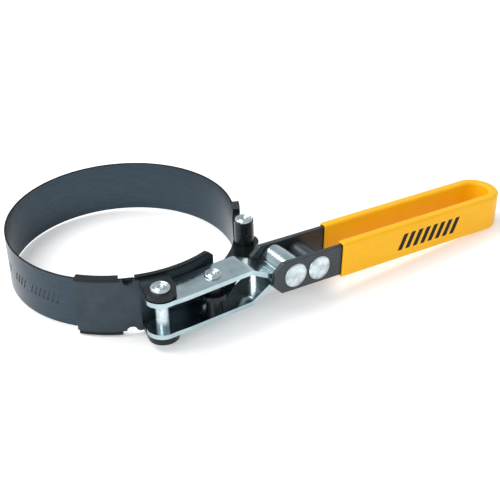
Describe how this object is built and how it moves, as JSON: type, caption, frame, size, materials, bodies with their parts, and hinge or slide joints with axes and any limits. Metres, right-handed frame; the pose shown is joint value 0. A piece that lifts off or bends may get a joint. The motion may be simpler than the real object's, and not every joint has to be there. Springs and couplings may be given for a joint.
{
  "type": "oil filter wrench",
  "caption": "Swivel-handle oil filter wrench: a steel band drawn tight round a filter by a link and a forked yoke, with a folded strap handle dipped in yellow vinyl.",
  "frame": {"origin": "centre of the band's bore, at the middle of its width", "axes": "+Z along the filter's axis, +X along the handle away from the band, +Y from the handle toward the band's far side"},
  "size_m": [0.2041, 0.1138, 0.0298],
  "materials": {
    "band_steel": "satin blue-grey spring steel",
    "black_steel": "satin dark grey coated steel",
    "gloss_black_steel": "glossy black coated steel",
    "black_washer": "black oxide",
    "zinc_steel": "bright bluish zinc plate",
    "rivet_steel": "bright pressed rivet steel",
    "grip_vinyl": "semi-gloss dipped yellow vinyl"
  },
  "bodies": {
    "band": {"band_front_half": "band_steel", "front_bracket": "black_steel", "ear_rivet": "rivet_steel", "upper_ear_washer": "black_washer", "lower_ear_washer": "black_washer"},
    "rear_band": {"band_rear_half": "band_steel", "rear_bracket": "black_steel", "knuckle_pin": "rivet_steel"},
    "yoke": {"yoke": "zinc_steel", "link_rivet": "rivet_steel", "upper_link_spacer": "black_washer", "lower_link_spacer": "black_washer"},
    "link": {"link": "gloss_black_steel"},
    "handle": {"handle_strap": "black_steel", "swivel_rivet": "rivet_steel", "swivel_sleeve": "zinc_steel", "strap_rivet": "rivet_steel", "strap_spacer": "black_washer", "grip": "grip_vinyl"}
  },
  "joints": [
    {"name": "yoke_swing", "type": "hinge", "parent": "band", "child": "yoke", "pos_m": [-0.0135, -0.056, 0], "axis": [0, 0, 1], "range_deg": [-35, 0]},
    {"name": "band_flex", "type": "hinge", "parent": "band", "child": "rear_band", "pos_m": [-0.02355, 0.04079, 0], "axis": [0, 0, 1], "range_deg": [-7.2, 0.2]},
    {"name": "link_pivot", "type": "hinge", "parent": "yoke", "child": "link", "pos_m": [0.0097, -0.056, 0], "axis": [0, 0, 1], "range_deg": [-1, 49]},
    {"name": "handle_swivel", "type": "hinge", "parent": "yoke", "child": "handle", "pos_m": [0.0425, -0.056, 0], "axis": [0, 1, 0], "range_deg": [-90, 85]}
  ],
  "couplings": [
    {"joint": "band_flex", "follows": "yoke_swing", "ratio": 0.1992},
    {"joint": "link_pivot", "follows": "yoke_swing", "ratio": -1.376}
  ]
}
